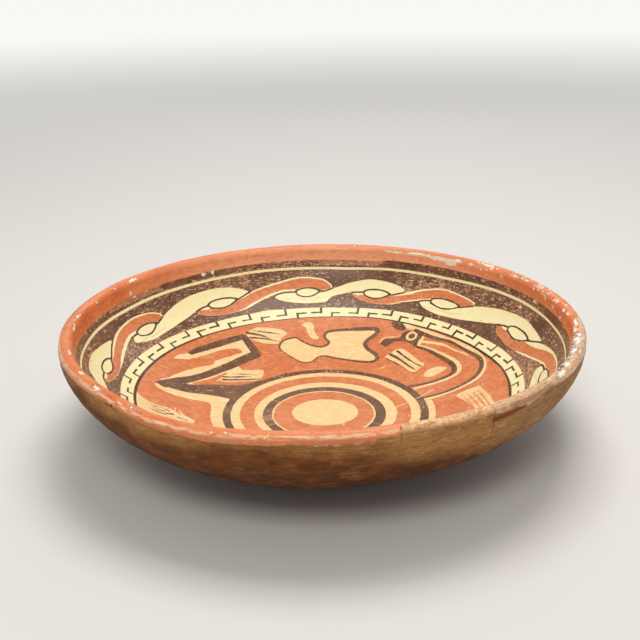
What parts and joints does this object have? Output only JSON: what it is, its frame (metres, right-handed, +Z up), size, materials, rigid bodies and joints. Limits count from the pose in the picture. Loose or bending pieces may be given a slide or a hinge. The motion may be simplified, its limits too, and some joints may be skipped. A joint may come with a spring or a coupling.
{
  "type": "polychrome pottery bowl",
  "caption": "Low, wide, round-lipped pottery bowl with painted bands and figures inside, mended from sherds, with plaster fills in the lip.",
  "frame": {"origin": "centre of the flat underside, on the surface the bowl stands on", "axes": "+Z up along the bowl's own axis, +Y away from the viewer of the picture, +X to that viewer's right"},
  "size_m": [0.26, 0.26, 0.0615],
  "materials": {
    "painted_pottery": "burnished slip, satin, worn",
    "worn_pottery": "bare fired clay, matt",
    "toned_pottery": "slip toned over in brown, satin",
    "fill_plaster": "chalky plaster, matt",
    "seam_filler": "pale filler, matt"
  },
  "bodies": {
    "root": {"bowl_body": "painted_pottery", "front_rim_sherd": "worn_pottery", "right_rim_sherd": "toned_pottery", "right_rim_fill": "fill_plaster", "left_rim_fill": "fill_plaster", "long_mend_seam": "seam_filler", "short_mend_seam": "seam_filler"}
  },
  "joints": []
}
